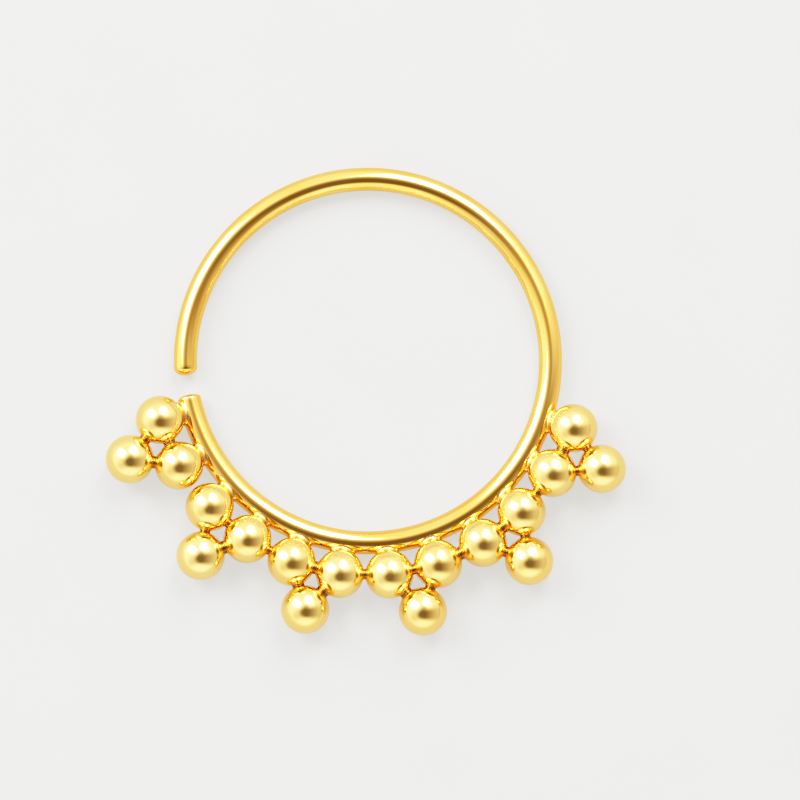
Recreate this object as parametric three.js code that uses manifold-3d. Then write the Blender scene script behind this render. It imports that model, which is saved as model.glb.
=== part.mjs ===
// Nose ring of round wire: an open hoop with a row of balls soldered along its outside, in pairs, and one
// more ball nested on each pair. Millimetres, +Z up. The ring lies on its back, as it was soldered on a
// flat board, so the wire and every ball reach down to z = 0. The row of balls faces -Y and the hoop opens
// beside its first ball, towards -X. The origin is the middle of the ring's box, on the board.
import * as THREE from "three";
import { mergeVertices } from "three/addons/utils/BufferGeometryUtils.js";
import Module from "manifold-3d";

// Driving dimensions
const HOOP_BORE = 12; // inner diameter of the hoop
const WIRE_D = 0.82; // 20 gauge wire
const END_GAP = 0.67; // from tip to tip, along the wire's middle line
const END_PAST_BALL = 0.62; // wire left beyond the first ball's centre
const END_DOME = 0.14; // how far each filed end bulges
const BALL_D = 1.71;
const PAIRS = 6; // pairs of balls on the wire, each with one outer ball
const BALL_JOINT = 0.03; // solder between two balls
const OPEN_JOINT = 0.1; // air between two neighbours that aren't soldered together
const OPEN_AFTER = 2; // balls on the wire before the open joint
const BALL_FILLET = 0.035; // radius of the hollow side of that solder, on top of half the joint
const WIRE_FILLET = 0.18; // radius of the hollow side of the solder between a ball and the wire

// Facets
const BALL_SIDES = 12;
const BALL_ROWS = 8;
const WIRE_SIDES = 12;
const HOOP_STEPS = 60;
const DOME_ROWS = 4;
const FILLET_SIDES = 8;
const FILLET_STEPS = 2;

// Sizes that follow from these
const wireRadius = WIRE_D / 2;
const ballRadius = BALL_D / 2;
const hoopRadius = HOOP_BORE / 2 + wireRadius; // to the wire's middle line
// A ball touches the wire while both lie on the board, so this is the level distance of their middles.
const rowRadius = hoopRadius + 2 * Math.sqrt(ballRadius * wireRadius);
const jointPitch = BALL_D + BALL_JOINT;
const jointFillet = BALL_JOINT / 2 + BALL_FILLET;
const angles = rowAngles();
const lowerTip = angles[0] + END_PAST_BALL / hoopRadius;
const upperTip = lowerTip + END_GAP / hoopRadius - 2 * Math.PI;

// The angles of the balls on the wire, from the one beside the opening round to the far side.
function rowAngles() {
  const turns = [0];
  for (let i = 1; i < 2 * PAIRS; i++) {
    const pitch = i === OPEN_AFTER ? BALL_D + OPEN_JOINT : jointPitch;
    turns.push(turns[i - 1] - 2 * Math.asin(pitch / 2 / rowRadius));
  }
  const middle = turns.at(-1) / 2;
  return turns.map((turn) => turn - middle);
}

// The point at a distance from the hoop's middle, at an angle from -Y turning towards -X.
function pointAt(radius, angle, height) {
  return new THREE.Vector3(-radius * Math.sin(angle), -radius * Math.cos(angle), height);
}

// The wire's middle line, from its lower end round the hoop to its upper one, less the two domes.
class WireLine extends THREE.Curve {
  getPoint(share, target = new THREE.Vector3()) {
    const dome = END_DOME / hoopRadius;
    const angle = THREE.MathUtils.lerp(lowerTip - dome, upperTip + dome, share);
    return target.copy(pointAt(hoopRadius, angle, wireRadius));
  }
}

function hoopWire(line) {
  const corners = [];
  for (let i = 0; i < WIRE_SIDES; i++) {
    const turn = (i / WIRE_SIDES) * 2 * Math.PI;
    corners.push(new THREE.Vector2(wireRadius * Math.cos(turn), wireRadius * Math.sin(turn)));
  }
  return new THREE.ExtrudeGeometry(new THREE.Shape(corners), { extrudePath: line, steps: HOOP_STEPS });
}

// The bulge of a filed wire end: a ball as wide as the wire, flattened along it.
function filedEnd(line, share) {
  const dome = new THREE.SphereGeometry(wireRadius, WIRE_SIDES, DOME_ROWS);
  dome.scale(1, END_DOME / wireRadius, 1);
  const along = line.getTangent(share);
  const up = new THREE.Vector3(0, 0, 1);
  const across = new THREE.Vector3().crossVectors(along, up);
  dome.applyMatrix4(new THREE.Matrix4().makeBasis(across, along, up));
  return dome.translate(...line.getPoint(share));
}

function ball(centre) {
  const geometry = new THREE.SphereGeometry(ballRadius, BALL_SIDES, BALL_ROWS);
  geometry.rotateX(Math.PI / 2);
  return geometry.translate(...centre);
}

// Solder between two round surfaces: a short waist whose hollow side is an arc tangent to both.
function solder(start, startRadius, end, endRadius, fillet) {
  const distance = start.distanceTo(end);
  const startReach = startRadius + fillet;
  const endReach = endRadius + fillet;
  const arcAlong = (distance ** 2 + startReach ** 2 - endReach ** 2) / (2 * distance);
  const arcOut = Math.sqrt(startReach ** 2 - arcAlong ** 2);
  const first = Math.atan2(-arcAlong, -arcOut);
  const turn = Math.atan2(distance - arcAlong, -arcOut) - first - 2 * Math.PI;
  const insideStart = arcAlong * (startRadius / startReach) ** 2;
  const insideEnd = distance - (distance - arcAlong) * (endRadius / endReach) ** 2;
  const profile = [new THREE.Vector2(0, insideStart)];
  for (let i = 0; i <= FILLET_STEPS; i++) {
    const angle = first + (turn * i) / FILLET_STEPS;
    const out = arcOut + fillet * Math.cos(angle);
    profile.push(new THREE.Vector2(out, arcAlong + fillet * Math.sin(angle)));
  }
  profile.push(new THREE.Vector2(0, insideEnd));
  const waist = new THREE.LatheGeometry(profile, FILLET_SIDES);
  const along = new THREE.Vector3().subVectors(end, start).normalize();
  const axis = new THREE.Vector3(0, 1, 0);
  waist.applyQuaternion(new THREE.Quaternion().setFromUnitVectors(axis, along));
  return waist.translate(...start);
}

function ballSolder(one, other) {
  return solder(one, ballRadius, other, ballRadius, jointFillet);
}

// The place of the outer ball that is soldered to both balls of a pair.
function nestedOn(left, right) {
  const middle = new THREE.Vector3().addVectors(left, right).divideScalar(2);
  const outward = new THREE.Vector3(middle.x, middle.y, 0).normalize();
  const rise = Math.sqrt(jointPitch ** 2 - left.distanceToSquared(right) / 4);
  return middle.addScaledVector(outward, rise);
}

const wasm = await Module();
wasm.setup();

// A closed three.js geometry as a solid that can be joined to others.
function solidOf(geometry) {
  geometry.deleteAttribute("normal");
  geometry.deleteAttribute("uv");
  const merged = mergeVertices(geometry);
  const mesh = new wasm.Mesh({
    numProp: 3,
    vertProperties: merged.attributes.position.array,
    triVerts: new Uint32Array(merged.index.array),
  });
  return new wasm.Manifold(mesh);
}

// A solid as a three.js geometry.
function geometryOf(solid) {
  const mesh = solid.getMesh();
  const geometry = new THREE.BufferGeometry();
  geometry.setAttribute("position", new THREE.BufferAttribute(mesh.vertProperties, 3));
  geometry.setIndex(new THREE.BufferAttribute(mesh.triVerts, 1));
  geometry.computeVertexNormals();
  return geometry;
}

// The whole ring, as one body of soldered metal.
function noseRing() {
  const line = new WireLine();
  const pieces = [hoopWire(line), filedEnd(line, 0), filedEnd(line, 1)];
  const row = angles.map((angle) => pointAt(rowRadius, angle, ballRadius));
  row.forEach((centre, i) => {
    const onWire = pointAt(hoopRadius, angles[i], wireRadius);
    pieces.push(ball(centre), solder(centre, ballRadius, onWire, wireRadius, WIRE_FILLET));
    if (i > 0 && i !== OPEN_AFTER) pieces.push(ballSolder(row[i - 1], centre));
  });
  for (let i = 0; i < 2 * PAIRS; i += 2) {
    const outer = nestedOn(row[i], row[i + 1]);
    pieces.push(ball(outer), ballSolder(row[i], outer), ballSolder(row[i + 1], outer));
  }
  return pieces.map(solidOf).reduce((whole, piece) => whole.add(piece));
}

const gold = new THREE.MeshStandardMaterial({ color: 0xf0c850, metalness: 1, roughness: 0.12 });
const mesh = new THREE.Mesh(geometryOf(noseRing()), gold);
mesh.name = "nose_ring";
const middle = new THREE.Box3().setFromObject(mesh).getCenter(new THREE.Vector3());
mesh.position.set(-middle.x, -middle.y, 0);

const ring = new THREE.Group();
ring.add(mesh);
export default ring;
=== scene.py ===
import math
import random

import bpy
from mathutils import Matrix, Vector


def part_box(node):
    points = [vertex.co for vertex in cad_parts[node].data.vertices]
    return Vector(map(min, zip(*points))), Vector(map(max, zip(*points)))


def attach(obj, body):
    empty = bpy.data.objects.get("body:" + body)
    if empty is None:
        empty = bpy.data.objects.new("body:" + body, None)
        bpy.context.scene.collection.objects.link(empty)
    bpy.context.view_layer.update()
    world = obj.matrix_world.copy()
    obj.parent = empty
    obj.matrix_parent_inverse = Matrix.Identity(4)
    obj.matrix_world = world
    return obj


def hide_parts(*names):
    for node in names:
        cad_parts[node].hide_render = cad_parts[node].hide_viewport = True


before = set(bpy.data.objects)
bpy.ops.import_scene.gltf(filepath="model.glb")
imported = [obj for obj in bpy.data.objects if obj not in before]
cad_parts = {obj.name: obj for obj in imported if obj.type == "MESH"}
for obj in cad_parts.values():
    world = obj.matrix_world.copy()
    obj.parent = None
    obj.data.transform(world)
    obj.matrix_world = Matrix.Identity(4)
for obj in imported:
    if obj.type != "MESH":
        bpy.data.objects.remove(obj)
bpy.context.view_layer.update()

# Hoop wire: one length of drawn 20 gauge brass wire, bent to an open circle, its two ends cut and filed a
# little round, then gold plated with the balls on it and polished. It lies flat on its back, as the whole
# ring does, and opens towards -X.
wire_r = 0.00041
bore_r = 0.006
hoop_r = bore_r + wire_r
ball_r = 0.000855
row_r = hoop_r + 2 * math.sqrt(ball_r * wire_r)
row_count = 12
ball_pitch = 0.00174
open_pitch = 0.00181
turn = 2 * math.asin(ball_pitch / 2 / row_r)
open_turn = 2 * math.asin(open_pitch / 2 / row_r) - turn
first_ball = ((row_count - 1) * turn + open_turn) / 2
end_past_ball = 0.00062
end_gap = 0.00067
lower_tip = first_ball + end_past_ball / hoop_r
upper_tip = lower_tip + end_gap / hoop_r - 2 * math.pi
# The upper end is filed rounder than the lower one.
lower_dome, upper_dome = 0.00016, 0.00027
hoop_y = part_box("nose_ring")[1].y - hoop_r - wire_r


def put(tree, kind, inputs=None, **settings):
    """Adds a node to a tree, with its settings and with a value or a link for each input named."""
    node = tree.nodes.new(kind)
    for setting, value in settings.items():
        setattr(node, setting, value)
    for socket, value in (inputs or {}).items():
        if isinstance(value, bpy.types.NodeSocket):
            tree.links.new(value, node.inputs[socket])
        else:
            node.inputs[socket].default_value = value
    return node


def sizes_of(tree, kinds):
    """Gives a tree a named input for each size, and returns the sockets that they come in by."""
    for size, kind in kinds.items():
        tree.interface.new_socket(name=size, in_out="INPUT", socket_type=kind)
    tree.interface.new_socket(name="Geometry", in_out="OUTPUT", socket_type="NodeSocketGeometry")
    return put(tree, "NodeGroupInput").outputs


def spot_on_circle(tree, angle, radius, middle, height):
    """Where a point stands on a level circle, at an angle from -Y turning towards -X."""
    left = put(tree, "ShaderNodeMath", {0: angle}, operation="SINE").outputs[0]
    down = put(tree, "ShaderNodeMath", {0: angle}, operation="COSINE").outputs[0]
    back = put(tree, "ShaderNodeMath", {0: radius, 1: -1.0}, operation="MULTIPLY").outputs[0]
    x = put(tree, "ShaderNodeMath", {0: left, 1: back}, operation="MULTIPLY").outputs[0]
    y = put(tree, "ShaderNodeMath", {0: down, 1: back, 2: middle}, operation="MULTIPLY_ADD").outputs[0]
    return put(tree, "ShaderNodeCombineXYZ", {"X": x, "Y": y, "Z": height}).outputs[0]


def made_by(tree, name, sizes):
    """Runs a tree once with these sizes, and keeps what it makes as one plain mesh."""
    piece = bpy.data.objects.new(name, bpy.data.meshes.new(name))
    bpy.context.scene.collection.objects.link(piece)
    shape = piece.modifiers.new("shape", "NODES")
    shape.node_group = tree
    for socket in tree.interface.items_tree:
        if socket.in_out == "INPUT":
            shape[socket.identifier] = sizes[socket.name]
    seen = bpy.context.evaluated_depsgraph_get()
    made = piece.evaluated_get(seen)
    mesh = bpy.data.meshes.new_from_object(made, preserve_all_data_layers=True, depsgraph=seen)
    piece.modifiers.remove(shape)
    piece.data = mesh
    mesh.name = name
    return piece


def rides_as_gold(piece):
    """One solid ring in the frame: every piece of it goes with the root and stands for the same node."""
    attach(piece, "root")
    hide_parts("nose_ring")


def linear(hex_code):
    """An sRGB hex colour as the linear one that a shader takes."""
    shares = [int(hex_code[i : i + 2], 16) / 255 for i in (1, 3, 5)]
    return [s / 12.92 if s <= 0.04045 else ((s + 0.055) / 1.055) ** 2.4 for s in shares] + [1.0]


def emptied(owner):
    """The node tree of a new material or world, with nothing in it yet."""
    owner.use_nodes = True
    owner.node_tree.nodes.clear()
    return owner.node_tree


def gold_plated(tree, tone_and_shade_mix, tones, grain, hazes, normal):
    """Ends a material as gold plate of two tones, the solder's darker one a painted shade, with a haze that
    goes with its grain.
    """
    tone = put(
        tree,
        "ShaderNodeMix",
        {0: tone_and_shade_mix, 6: linear(tones[0]), 7: linear(tones[1])},
        data_type="RGBA",
    )
    haze = put(
        tree,
        "ShaderNodeMapRange",
        {"Value": grain, "From Min": 0.3, "From Max": 0.7, "To Min": hazes[0], "To Max": hazes[1]},
    )
    gold = put(
        tree,
        "ShaderNodeBsdfPrincipled",
        {
            "Base Color": tone.outputs[2],
            "Metallic": 1.0,
            "Roughness": haze.outputs[0],
            "Normal": normal,
        },
    )
    put(tree, "ShaderNodeOutputMaterial", {"Surface": gold.outputs[0]})


# Gold plate on drawn brass, buffed: a mirror with a slight haze, deep yellow, and very fine lines along the
# wire that the die left and the buff didn't quite take out. They smear a reflection along the wire's round.
wire_gold = bpy.data.materials.new("gold_plate_on_drawn_brass")
tree = emptied(wire_gold)
drawn = put(tree, "ShaderNodeAttribute", attribute_name="drawn")
# The drawing lines are about 0.01 mm apart, drawn 0.05 mm apart here so that they show, and 2 mm long.
die_lines = put(
    tree, "ShaderNodeMapping", {"Vector": drawn.outputs["Vector"], "Scale": (500, 20000, 20000)}
)
lines = put(tree, "ShaderNodeTexNoise", {"Vector": die_lines.outputs[0], "Scale": 1.0, "Detail": 3.0})
ridges = put(
    tree,
    "ShaderNodeBump",
    {"Height": lines.outputs["Fac"], "Strength": 1.0, "Distance": 0.0000004},
)
place = put(tree, "ShaderNodeTexCoord")
# The plate is thinner and a little redder in soft patches about 1.5 mm across.
patches = put(
    tree, "ShaderNodeTexNoise", {"Vector": place.outputs["Object"], "Scale": 650.0, "Detail": 1.0}
)
patchy = put(
    tree, "ShaderNodeMapRange", {"Value": patches.outputs["Fac"], "From Min": 0.35, "From Max": 0.7}
)
gold_plated(
    tree,
    tone_and_shade_mix=patchy.outputs[0],
    tones=("#FBD185", "#F8C978"),
    grain=lines.outputs["Fac"],
    hazes=(0.06, 0.12),
    normal=ridges.outputs[0],
)

# The wire's points follow a circle, close together where an end is rounded off, and a circle of the wire's
# width is swept along them and shrunk to nothing at each end.
sweep = bpy.data.node_groups.new("hoop_wire", "GeometryNodeTree")
size = sizes_of(
    sweep,
    {
        "Hoop radius": "NodeSocketFloat",
        "Wire radius": "NodeSocketFloat",
        "Hoop middle": "NodeSocketFloat",
        "Lower tip": "NodeSocketFloat",
        "Upper tip": "NodeSocketFloat",
        "Lower dome": "NodeSocketFloat",
        "Upper dome": "NodeSocketFloat",
        "Points": "NodeSocketInt",
        "Points in a dome": "NodeSocketInt",
        "Sides": "NodeSocketInt",
    },
)
index = put(sweep, "GeometryNodeInputIndex").outputs[0]
last = put(sweep, "ShaderNodeMath", {0: size["Points"], 1: 1.0}, operation="SUBTRACT").outputs[0]
to_last = put(sweep, "ShaderNodeMath", {0: last, 1: index}, operation="SUBTRACT").outputs[0]
quarter = put(
    sweep, "ShaderNodeMath", {0: math.pi / 2, 1: size["Points in a dome"]}, operation="DIVIDE"
).outputs[0]
# From each end a point leans a quarter turn over its dome, and then no further.
domes, reaches, widths = [], [], []
for steps_in, dome in ((index, size["Lower dome"]), (to_last, size["Upper dome"])):
    gone = put(sweep, "ShaderNodeMath", {0: steps_in, 1: quarter}, operation="MULTIPLY").outputs[0]
    lean = put(sweep, "ShaderNodeMath", {0: gone, 1: math.pi / 2}, operation="MINIMUM").outputs[0]
    dome_turn = put(sweep, "ShaderNodeMath", {0: dome, 1: size["Hoop radius"]}, operation="DIVIDE")
    rest_of_it = put(sweep, "ShaderNodeMath", {0: lean}, operation="COSINE").outputs[0]
    reach = put(
        sweep, "ShaderNodeMath", {0: rest_of_it, 1: dome_turn.outputs[0]}, operation="MULTIPLY"
    )
    domes.append(dome_turn.outputs[0])
    reaches.append(reach.outputs[0])
    widths.append(put(sweep, "ShaderNodeMath", {0: lean}, operation="SINE").outputs[0])
start = put(sweep, "ShaderNodeMath", {0: size["Lower tip"], 1: domes[0]}, operation="SUBTRACT")
end = put(sweep, "ShaderNodeMath", {0: size["Upper tip"], 1: domes[1]}, operation="ADD")
to_dome = put(sweep, "ShaderNodeMath", {0: last, 1: size["Points in a dome"]}, operation="SUBTRACT")
body = put(
    sweep,
    "ShaderNodeMapRange",
    {
        "Value": index,
        "From Min": size["Points in a dome"],
        "From Max": to_dome.outputs[0],
        "To Min": start.outputs[0],
        "To Max": end.outputs[0],
    },
).outputs[0]
with_lower = put(sweep, "ShaderNodeMath", {0: reaches[0], 1: body}, operation="ADD").outputs[0]
angle = put(sweep, "ShaderNodeMath", {0: with_lower, 1: reaches[1]}, operation="SUBTRACT").outputs[0]
spot = spot_on_circle(sweep, angle, size["Hoop radius"], size["Hoop middle"], size["Wire radius"])
dots = put(sweep, "GeometryNodeMeshLine", {"Count": size["Points"]})
bent = put(sweep, "GeometryNodeSetPosition", {"Geometry": dots.outputs[0], "Position": spot})
line = put(sweep, "GeometryNodeMeshToCurve", {"Mesh": bent.outputs[0]})
along = put(sweep, "ShaderNodeMath", {0: angle, 1: size["Hoop radius"]}, operation="MULTIPLY").outputs[0]
far = put(sweep, "ShaderNodeCombineXYZ", {"X": along})
far_line = put(
    sweep,
    "GeometryNodeStoreNamedAttribute",
    {"Geometry": line.outputs[0], "Name": "along", "Value": far.outputs[0]},
    data_type="FLOAT_VECTOR",
    domain="POINT",
)
round_wire = put(
    sweep, "GeometryNodeCurvePrimitiveCircle", {"Resolution": size["Sides"], "Radius": size["Wire radius"]}
)
where = put(sweep, "GeometryNodeInputPosition")
turned = put(sweep, "ShaderNodeSeparateXYZ", {0: where.outputs[0]})
across = put(sweep, "ShaderNodeCombineXYZ", {"Y": turned.outputs[0], "Z": turned.outputs[1]})
across_wire = put(
    sweep,
    "GeometryNodeStoreNamedAttribute",
    {"Geometry": round_wire.outputs[0], "Name": "across", "Value": across.outputs[0]},
    data_type="FLOAT_VECTOR",
    domain="POINT",
)
width = put(sweep, "ShaderNodeMath", {0: widths[0], 1: widths[1]}, operation="MULTIPLY").outputs[0]
swept = put(
    sweep,
    "GeometryNodeCurveToMesh",
    {"Curve": far_line.outputs[0], "Profile Curve": across_wire.outputs[0], "Scale": width},
)
along_read = put(sweep, "GeometryNodeInputNamedAttribute", {"Name": "along"}, data_type="FLOAT_VECTOR")
across_read = put(sweep, "GeometryNodeInputNamedAttribute", {"Name": "across"}, data_type="FLOAT_VECTOR")
both = put(
    sweep, "ShaderNodeVectorMath", {0: along_read.outputs[0], 1: across_read.outputs[0]}, operation="ADD"
)
told = put(
    sweep,
    "GeometryNodeStoreNamedAttribute",
    {"Geometry": swept.outputs[0], "Name": "drawn", "Value": both.outputs[0]},
    data_type="FLOAT_VECTOR",
    domain="POINT",
)
closed = put(sweep, "GeometryNodeMergeByDistance", {"Geometry": told.outputs[0], "Distance": 0.0000001})
smooth = put(sweep, "GeometryNodeSetShadeSmooth", {"Geometry": closed.outputs[0], "Shade Smooth": True})
real = put(sweep, "GeometryNodeRealizeInstances", {"Geometry": smooth.outputs[0]})
coated = put(sweep, "GeometryNodeSetMaterial", {"Geometry": real.outputs[0], "Material": wire_gold})
put(sweep, "NodeGroupOutput", {0: coated.outputs[0]})

hoop_wire = made_by(
    sweep,
    "hoop_wire",
    {
        "Hoop radius": hoop_r,
        "Wire radius": wire_r,
        "Hoop middle": hoop_y,
        "Lower tip": lower_tip,
        "Upper tip": upper_tip,
        "Lower dome": lower_dome,
        "Upper dome": upper_dome,
        "Points": 420,
        "Points in a dome": 12,
        "Sides": 48,
    },
)
rides_as_gold(hoop_wire)

# Row of twelve balls: solid brass shot 1.7 mm across, tumbled bright, set side by side along the lower half
# of the wire's outside and soldered there in pairs. Balls two and three from the opening don't touch.
ball_gold = bpy.data.materials.new("gold_plate_on_tumbled_brass_shot")
tree = emptied(ball_gold)
place = put(tree, "ShaderNodeTexCoord").outputs["Object"]
# Tumbling leaves a mirror with shallow waves about 0.6 mm across, which bend its reflections slightly, and
# a peening of small dimples, really 0.02 mm, drawn 0.07 mm here so that they show.
waves = put(tree, "ShaderNodeTexNoise", {"Vector": place, "Scale": 1600.0, "Detail": 0.0})
dimples = put(tree, "ShaderNodeTexNoise", {"Vector": place, "Scale": 14000.0, "Detail": 2.0})
wavy = put(
    tree, "ShaderNodeBump", {"Height": waves.outputs["Fac"], "Strength": 1.0, "Distance": 0.000004}
)
peened = put(
    tree,
    "ShaderNodeBump",
    {
        "Height": dimples.outputs["Fac"],
        "Strength": 1.0,
        "Distance": 0.0000004,
        "Normal": wavy.outputs[0],
    },
)
# Each ball took the plate a little differently, from lemon to a redder yellow.
own = put(tree, "ShaderNodeAttribute", attribute_name="own_tone")
gold_plated(
    tree,
    tone_and_shade_mix=own.outputs["Fac"],
    tones=("#FDDD9A", "#FBD68F"),
    grain=dimples.outputs["Fac"],
    hazes=(0.11, 0.18),
    normal=peened.outputs[0],
)

# The balls' points stand on a circle, a fixed turn apart, with one wider turn where two don't touch.
string = bpy.data.node_groups.new("balls_on_a_circle", "GeometryNodeTree")
size = sizes_of(
    string,
    {
        "Balls": "NodeSocketInt",
        "Ball radius": "NodeSocketFloat",
        "Circle radius": "NodeSocketFloat",
        "Circle middle": "NodeSocketFloat",
        "First turn": "NodeSocketFloat",
        "Turn": "NodeSocketFloat",
        "Open turn": "NodeSocketFloat",
        "Open after": "NodeSocketFloat",
        "Seed": "NodeSocketInt",
    },
)
index = put(string, "GeometryNodeInputIndex").outputs[0]
gone = put(string, "ShaderNodeMath", {0: index, 1: size["Turn"]}, operation="MULTIPLY").outputs[0]
before = put(string, "ShaderNodeMath", {0: size["Open after"], 1: 0.5}, operation="SUBTRACT").outputs[0]
past = put(string, "ShaderNodeMath", {0: index, 1: before}, operation="GREATER_THAN").outputs[0]
wider = put(
    string, "ShaderNodeMath", {0: past, 1: size["Open turn"], 2: gone}, operation="MULTIPLY_ADD"
).outputs[0]
angle = put(string, "ShaderNodeMath", {0: size["First turn"], 1: wider}, operation="SUBTRACT").outputs[0]
spot = spot_on_circle(string, angle, size["Circle radius"], size["Circle middle"], size["Ball radius"])
dots = put(string, "GeometryNodeMeshLine", {"Count": size["Balls"]})
placed = put(string, "GeometryNodeSetPosition", {"Geometry": dots.outputs[0], "Position": spot})
shot = put(string, "GeometryNodeMeshIcoSphere", {"Radius": size["Ball radius"], "Subdivisions": 5})
# No shot is quite round: each is up to half a percent under size along its own three axes.
uneven = put(
    string,
    "FunctionNodeRandomValue",
    {0: (0.995, 0.995, 0.995), 1: (0.9995, 0.9995, 0.9995), "Seed": size["Seed"]},
    data_type="FLOAT_VECTOR",
)
set_down = put(
    string,
    "GeometryNodeInstanceOnPoints",
    {"Points": placed.outputs[0], "Instance": shot.outputs[0], "Scale": uneven.outputs[0]},
)
tone_seed = put(string, "ShaderNodeMath", {0: size["Seed"], 1: 7.0}, operation="ADD").outputs[0]
own_tone = put(string, "FunctionNodeRandomValue", {2: 0.0, 3: 1.0, "Seed": tone_seed}, data_type="FLOAT")
toned = put(
    string,
    "GeometryNodeStoreNamedAttribute",
    {"Geometry": set_down.outputs[0], "Name": "own_tone", "Value": own_tone.outputs[1]},
    data_type="FLOAT",
    domain="INSTANCE",
)
smooth = put(string, "GeometryNodeSetShadeSmooth", {"Geometry": toned.outputs[0], "Shade Smooth": True})
real = put(string, "GeometryNodeRealizeInstances", {"Geometry": smooth.outputs[0]})
coated = put(string, "GeometryNodeSetMaterial", {"Geometry": real.outputs[0], "Material": ball_gold})
put(string, "NodeGroupOutput", {0: coated.outputs[0]})

row_balls = made_by(
    string,
    "row_balls",
    {
        "Balls": row_count,
        "Ball radius": ball_r,
        "Circle radius": row_r,
        "Circle middle": hoop_y,
        "First turn": first_ball,
        "Turn": turn,
        "Open turn": open_turn,
        "Open after": 2.0,
        "Seed": 3,
    },
)
rides_as_gold(row_balls)

# Outer balls: six more of the same shot, each nested in the hollow outside a pair of the row and soldered
# to both, so that the six triangles make the ring's edge.
outer_r = row_r * math.cos(turn / 2) + ball_pitch * math.sqrt(3) / 2
outer_count = row_count // 2
outer_balls = made_by(
    string,
    "outer_balls",
    {
        "Balls": outer_count,
        "Ball radius": ball_r,
        "Circle radius": outer_r,
        "Circle middle": hoop_y,
        "First turn": first_ball - turn / 2,
        "Turn": 2 * turn,
        "Open turn": open_turn,
        "Open after": 1.0,
        "Seed": 11,
    },
)
rides_as_gold(outer_balls)

# Solder between the balls and the wire: hard solder that ran into each joint and froze with a hollow side,
# tangent to the ball and to the wire, then gold plated. It is duller than they are, as no buff reaches it.
joint_gold = bpy.data.materials.new("gold_plate_on_hard_solder")
tree = emptied(joint_gold)
place = put(tree, "ShaderNodeTexCoord").outputs["Object"]
# Frozen solder is lumpy at 0.2 mm and grainy at 0.05 mm.
lumps = put(tree, "ShaderNodeTexNoise", {"Vector": place, "Scale": 5000.0, "Detail": 1.0})
grain = put(tree, "ShaderNodeTexNoise", {"Vector": place, "Scale": 20000.0, "Detail": 2.0})
lumpy = put(
    tree, "ShaderNodeBump", {"Height": lumps.outputs["Fac"], "Strength": 1.0, "Distance": 0.000005}
)
grainy = put(
    tree,
    "ShaderNodeBump",
    {
        "Height": grain.outputs["Fac"],
        "Strength": 1.0,
        "Distance": 0.0000008,
        "Normal": lumpy.outputs[0],
    },
)
# The colour is darker and browner in the hollow of the joint. This is painted shade, where the joint faces
# the dark sides of the balls and the shade on the floor.
painted_shade = put(tree, "ShaderNodeAttribute", attribute_name="painted_shade")
gold_plated(
    tree,
    tone_and_shade_mix=painted_shade.outputs["Fac"],
    tones=("#F7CE87", "#8F744D"),
    grain=grain.outputs["Fac"],
    hazes=(0.22, 0.36),
    normal=grainy.outputs[0],
)


def on_circle(radius, angle, height):
    """A point of the ring at an angle from -Y turning towards -X."""
    return Vector((-radius * math.sin(angle), hoop_y - radius * math.cos(angle), height))


def on_wire_line(point):
    """The place on the wire's middle line that is nearest to a point."""
    flat = Vector((point.x, point.y - hoop_y, 0)).normalized() * hoop_r
    return Vector((flat.x, hoop_y + flat.y, wire_r))


def fillet_centre(ball, out, side, radius, other_r, nearest):
    """The middle of a small circle that touches the ball and the other surface on one side of a joint."""
    low, high, halvings = 0.0, math.pi / 2, 40
    for _ in range(halvings):
        lean = (low + high) / 2
        middle = ball + (ball_r + radius) * (math.cos(lean) * out + math.sin(lean) * side)
        if (middle - nearest(middle)).length < other_r + radius:
            low = lean
        else:
            high = lean
    return middle


def fillet_leaving(half_neck, ball, out, side, other_r, nearest):
    """The radius and the middle of the small circle that leaves half the joint's neck inside it."""
    smallest, largest, halvings = 0.000002, 0.0006, 30
    for _ in range(halvings):
        radius = (smallest + largest) / 2
        middle = fillet_centre(ball, out, side, radius, other_r, nearest)
        if (middle - ball).dot(side) - radius < half_neck:
            smallest = radius
        else:
            largest = radius
    return radius, middle


def solder_joint(shell, ball, other_r, nearest, wide, high, sides, steps):
    """Adds one joint to a shell of points and faces: a closed waist, so wide and high where it is least."""
    points, shade_shares, faces = shell
    out = (nearest(ball) - ball).normalized()
    level = Vector((-out.y, out.x, 0)).normalized()
    upright = out.cross(level)
    base = len(points)
    rings = steps + 3
    # Both rims go on a little under the surfaces, so that no edge of the joint shows.
    rim_beyond, rim_under = 0.00003, 0.000002
    for i in range(sides):
        turned = 2 * math.pi * i / sides
        side = math.cos(turned) * level + math.sin(turned) * upright
        neck = 1 / math.hypot(math.cos(turned) / wide, math.sin(turned) / high)
        radius, middle = fillet_leaving(neck / 2, ball, out, side, other_r, nearest)
        beyond = middle + rim_beyond * side
        line_point = nearest(beyond)
        on_ball = ball + (ball_r - rim_under) * (beyond - ball).normalized()
        on_other = line_point + (other_r - rim_under) * (beyond - line_point).normalized()
        first = (ball - middle).normalized()
        last = (nearest(middle) - middle).normalized()
        points.append(on_ball)
        shade_shares.append(0.0)
        for k in range(steps + 1):
            share = k / steps
            points.append(middle + radius * first.slerp(last, share))
            # Each point of the waist takes painted shade, most at the middle of the hollow and none at the
            # rims.
            shade_shares.append(math.sin(math.pi * share))
        points.append(on_other)
        shade_shares.append(0.0)
    # The waist is closed by a fan to a point inside the ball and one to a point inside the other body.
    inside_ball, inside_other = len(points), len(points) + 1
    points += [ball + out * ball_r / 2, ball + out * (ball_r + 0.6 * other_r)]
    shade_shares += [0.0, 0.0]
    for i in range(sides):
        here, there = base + i * rings, base + (i + 1) % sides * rings
        faces.append((inside_ball, there, here))
        faces.append((inside_other, here + rings - 1, there + rings - 1))
        for k in range(rings - 1):
            faces.append((here + k, there + k, there + k + 1, here + k + 1))


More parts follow.
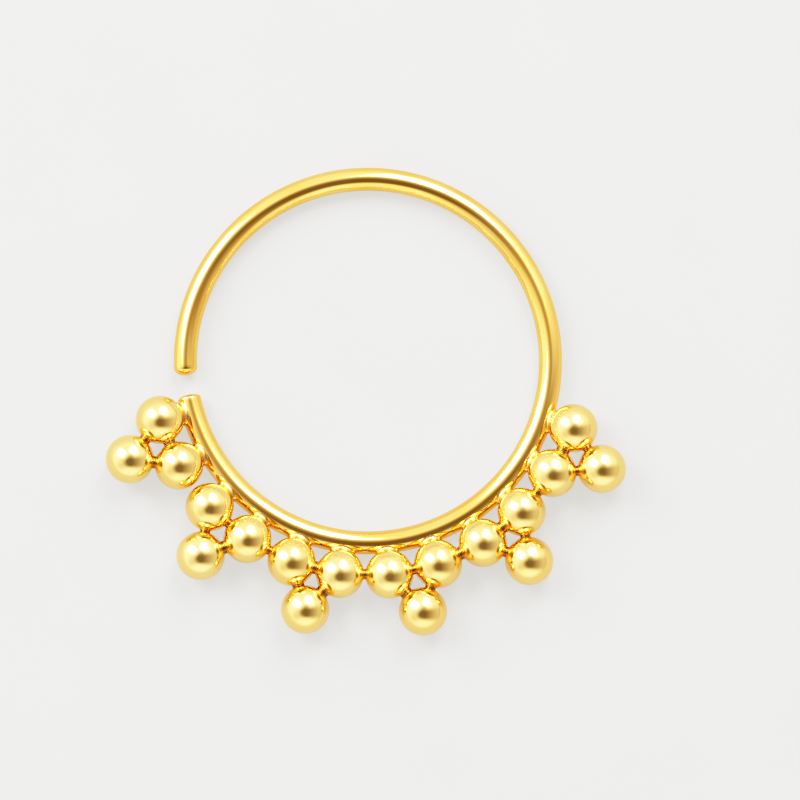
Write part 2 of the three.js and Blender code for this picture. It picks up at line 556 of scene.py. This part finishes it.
def soldered(name, shell, painted_shade_strength):
    """The joints of a shell as one piece, smooth, with how much painted shade each point takes in the
    joint's hollow.
    """
    points, shade_shares, faces = shell
    mesh = bpy.data.meshes.new(name)
    mesh.from_pydata(points, [], faces)
    painted_shade = mesh.attributes.new("painted_shade", "FLOAT", "POINT")
    painted_shade.data.foreach_set("value", [painted_shade_strength * share for share in shade_shares])
    mesh.shade_smooth()
    mesh.materials.append(joint_gold)
    piece = bpy.data.objects.new(name, mesh)
    bpy.context.scene.collection.objects.link(piece)
    return piece


# No two joints took the same drop of solder: each is a little wider and higher or less so.
runs = random.Random(5)
joint_wide, joint_high = 0.0008, 0.00056
turns = [first_ball - i * turn - (open_turn if i > 1 else 0) for i in range(row_count)]
row = [on_circle(row_r, angle, ball_r) for angle in turns]
shell = ([], [], [])
for ball in row:
    wide, high = joint_wide * runs.uniform(0.88, 1.1), joint_high * runs.uniform(0.92, 1.06)
    solder_joint(shell, ball, wire_r, on_wire_line, wide, high, sides=44, steps=10)
# The joints on the wire take less painted shade than those between the balls.
wire_solder = soldered("wire_solder", shell, painted_shade_strength=0.3)
rides_as_gold(wire_solder)

# Solder between the balls: a smaller drop of the same solder where two balls of a pair, two neighbouring
# pairs or an outer ball and its pair touch, finished in the same way.
drop_thick = 0.0004
pairs = range(outer_count)
outer = [on_circle(outer_r, (turns[2 * i] + turns[2 * i + 1]) / 2, ball_r) for i in pairs]
touching = [(row[i], row[i + 1]) for i in range(row_count - 1) if i != 1]
touching += [(row[2 * i + k], outer[i]) for i in pairs for k in (0, 1)]
shell = ([], [], [])
for one, other in touching:
    thick = drop_thick * runs.uniform(0.8, 1.15)
    solder_joint(shell, one, ball_r, lambda point: other, thick, thick, sides=36, steps=8)
# The joints between the balls take the full painted shade in their hollows.
ball_solder = soldered("ball_solder", shell, painted_shade_strength=1.0)
rides_as_gold(ball_solder)

# Floor: a plain sheet of opal acrylic, matt, lit a little from below as on a light table, so that the
# shadows on it stay pale. It is far wider than the ring.
opal = bpy.data.materials.new("opal_acrylic_lit_from_below")
tree = emptied(opal)
place = put(tree, "ShaderNodeTexCoord").outputs["Object"]
# Its cast surface is uneven by a shade over patches about 4 mm across.
cast = put(tree, "ShaderNodeTexNoise", {"Vector": place, "Scale": 250.0, "Detail": 2.0})
shade = put(
    tree,
    "ShaderNodeMix",
    {0: cast.outputs["Fac"], 6: linear("#616161"), 7: linear("#656564")},
    data_type="RGBA",
)
sheet = put(
    tree,
    "ShaderNodeBsdfPrincipled",
    {
        "Base Color": shade.outputs[2],
        "Roughness": 0.8,
        "Emission Color": linear("#FAF9F6"),
        "Emission Strength": 0.5,
    },
)
put(tree, "ShaderNodeOutputMaterial", {"Surface": sheet.outputs[0]})
far_off = 3
corners = [(x * far_off, y * far_off, 0) for x, y in ((-1, -1), (1, -1), (1, 1), (-1, 1))]
mesh = bpy.data.meshes.new("floor")
mesh.from_pydata(corners, [], [(0, 1, 2, 3)])
mesh.materials.append(opal)
floor = bpy.data.objects.new("floor", mesh)
bpy.context.scene.collection.objects.link(floor)

# Camera: nearly straight above, 5 degrees towards -Y, close to level with the photo's own frame. One pixel
# is 0.0351 mm of the ring.
photo_px, photo_width = 0.0000351, 800
camera_away = 0.4
aim = Vector((0.001154, 0.000069, wire_r))
elevation, azimuth, roll = math.radians(85.0), math.radians(-2.6), math.radians(1.145)
away = Vector(
    (
        math.sin(azimuth) * math.cos(elevation),
        -math.cos(azimuth) * math.cos(elevation),
        math.sin(elevation),
    )
)
level = (-away).cross(Vector((0, 1, 0))).normalized()
upright = level.cross(-away)
across = level * math.cos(roll) + upright * math.sin(roll)
upward = upright * math.cos(roll) - level * math.sin(roll)
facing = Matrix((across, upward, away)).transposed().to_4x4()
lens = bpy.data.cameras.new("camera")
lens.sensor_width = 36
lens.lens = lens.sensor_width * camera_away / (photo_width * photo_px)
lens.clip_start, lens.clip_end = 0.01, 20
camera = bpy.data.objects.new("camera", lens)
bpy.context.scene.collection.objects.link(camera)
camera.matrix_world = Matrix.Translation(aim + away * camera_away) @ facing
bpy.context.scene.camera = camera

# Light: two rectangular soft boxes beyond the ring, left and right of its middle line, which make the two
# white spots on each ball and the white streaks along the wire.
box_away = 0.3
watts_per_square_metre = 24
box_ways = []
for name, left_of_back, height, width, tall in (
    ("soft_box_left", 58, 42, 0.135, 0.21),
    ("soft_box_right", -18, 46, 0.12, 0.19),
):
    box = bpy.data.lights.new(name, "AREA")
    box.shape = "RECTANGLE"
    box.size, box.size_y = width, tall
    box.energy = watts_per_square_metre * width * tall
    box.color = linear("#F4F8FF")[:3]
    lamp = bpy.data.objects.new(name, box)
    bpy.context.scene.collection.objects.link(lamp)
    bearing, rise = math.radians(left_of_back), math.radians(height)
    level = Vector((-math.sin(bearing), math.cos(bearing), 0))
    towards = level * math.cos(rise) + Vector((0, 0, math.sin(rise)))
    lamp.location = towards * box_away
    lamp.rotation_euler = towards.to_track_quat("Z", "Y").to_euler()
    lamp.visible_camera = False
    box_ways.append(towards)

# A white tent all round gives the even light. Its cloth glows round each soft box, beside the right one, on
# the left and a little in front. It is in shade along the horizon, half way up in front on the left and at
# the top, and it is dark at the opening that the camera looks in by, which runs on to the right as a slit.
tent = bpy.data.worlds.new("tent")
bpy.context.scene.world = tent
tree = emptied(tent)
way = put(tree, "ShaderNodeTexCoord").outputs["Generated"]
glow = 1.05
for middle, inner, outer, extra in (
    (box_ways[0], 10, 21, 0.6),
    (box_ways[1], 10, 20, 0.6),
    (Vector((0.0, -0.93, 0.37)), 5, 42, 0.16),
    (Vector((0.0, 0.0, -1.0)), 90, 107, -0.24),
    (Vector((0.42, 0.5, 0.72)).normalized(), 6, 22, 0.7),
    (Vector((-0.85, 0.22, 0.47)).normalized(), 10, 45, 0.2),
    (Vector((-0.57, -0.44, 0.7)).normalized(), 0, 34, -0.28),
    (Vector((0.08, 0.11, 0.99)).normalized(), 3, 18, -0.4),
):
    near = put(tree, "ShaderNodeVectorMath", {0: way, 1: middle}, operation="DOT_PRODUCT")
    lit = put(
        tree,
        "ShaderNodeMapRange",
        {
            "Value": near.outputs["Value"],
            "From Min": math.cos(math.radians(outer)),
            "From Max": math.cos(math.radians(inner)),
            "To Max": extra,
        },
        interpolation_type="SMOOTHSTEP",
    )
    glow = put(tree, "ShaderNodeMath", {0: glow, 1: lit.outputs[0]}, operation="ADD").outputs[0]
opening = Vector((0.015, -0.32, 0.947))
slit_end = Vector((0.97, -0.13, 0.2))
slit = slit_end - opening
from_opening = put(tree, "ShaderNodeVectorMath", {0: way, 1: opening}, operation="SUBTRACT")
share = put(
    tree,
    "ShaderNodeVectorMath",
    {0: from_opening.outputs[0], 1: slit / slit.length_squared},
    operation="DOT_PRODUCT",
)
held = put(tree, "ShaderNodeClamp", {"Value": share.outputs["Value"], "Min": 0.0, "Max": 1.0})
step = put(
    tree, "ShaderNodeVectorMath", {0: slit, 1: held.outputs[0], 2: opening}, operation="MULTIPLY_ADD"
)
middle = put(tree, "ShaderNodeVectorMath", {0: step.outputs[0]}, operation="NORMALIZE")
off = put(tree, "ShaderNodeVectorMath", {0: way, 1: middle.outputs[0]}, operation="DISTANCE")
edge = put(
    tree,
    "ShaderNodeMapRange",
    {"Value": off.outputs["Value"], "From Min": 0.2, "From Max": 0.66, "To Min": 1.0, "To Max": 0.0},
    interpolation_type="SMOOTHSTEP",
)
fade = put(
    tree,
    "ShaderNodeMapRange",
    {"Value": held.outputs[0], "From Min": 0.14, "From Max": 1.0, "To Min": 1.0, "To Max": 0.45},
)
shut = put(tree, "ShaderNodeMath", {0: edge.outputs[0], 1: fade.outputs[0]}, operation="MULTIPLY")
cloth = put(tree, "ShaderNodeVectorMath", {0: (1.0, 1.0, 1.0), "Scale": glow}, operation="SCALE")
light = put(
    tree,
    "ShaderNodeMix",
    {0: shut.outputs[0], 6: cloth.outputs[0], 7: linear("#827E78")},
    data_type="RGBA",
)
sky = put(tree, "ShaderNodeBackground", {"Color": light.outputs[2], "Strength": 1.0})
put(tree, "ShaderNodeOutputWorld", {"Surface": sky.outputs[0]})

# The picture is developed as a camera does it: a curve that is steep in the shadows and rolls off to white.
brightest = 6.0
exposure, contrast = 3.6, 1.8
# The curve's points stand closer together in the shadows.
curve_points, crowding = 24, 2.2
picture = bpy.context.scene.view_settings
picture.view_transform = "Standard"
picture.use_curve_mapping = True
film = picture.curve_mapping
film.white_level = (brightest, brightest, brightest)
film.extend = "HORIZONTAL"
film.initialize()
response = film.curves[3]
for k in range(1, curve_points):
    light_in = (k / curve_points) ** crowding
    response.points.new(light_in, 1 - math.exp(-exposure * (brightest * light_in) ** contrast))
film.update()
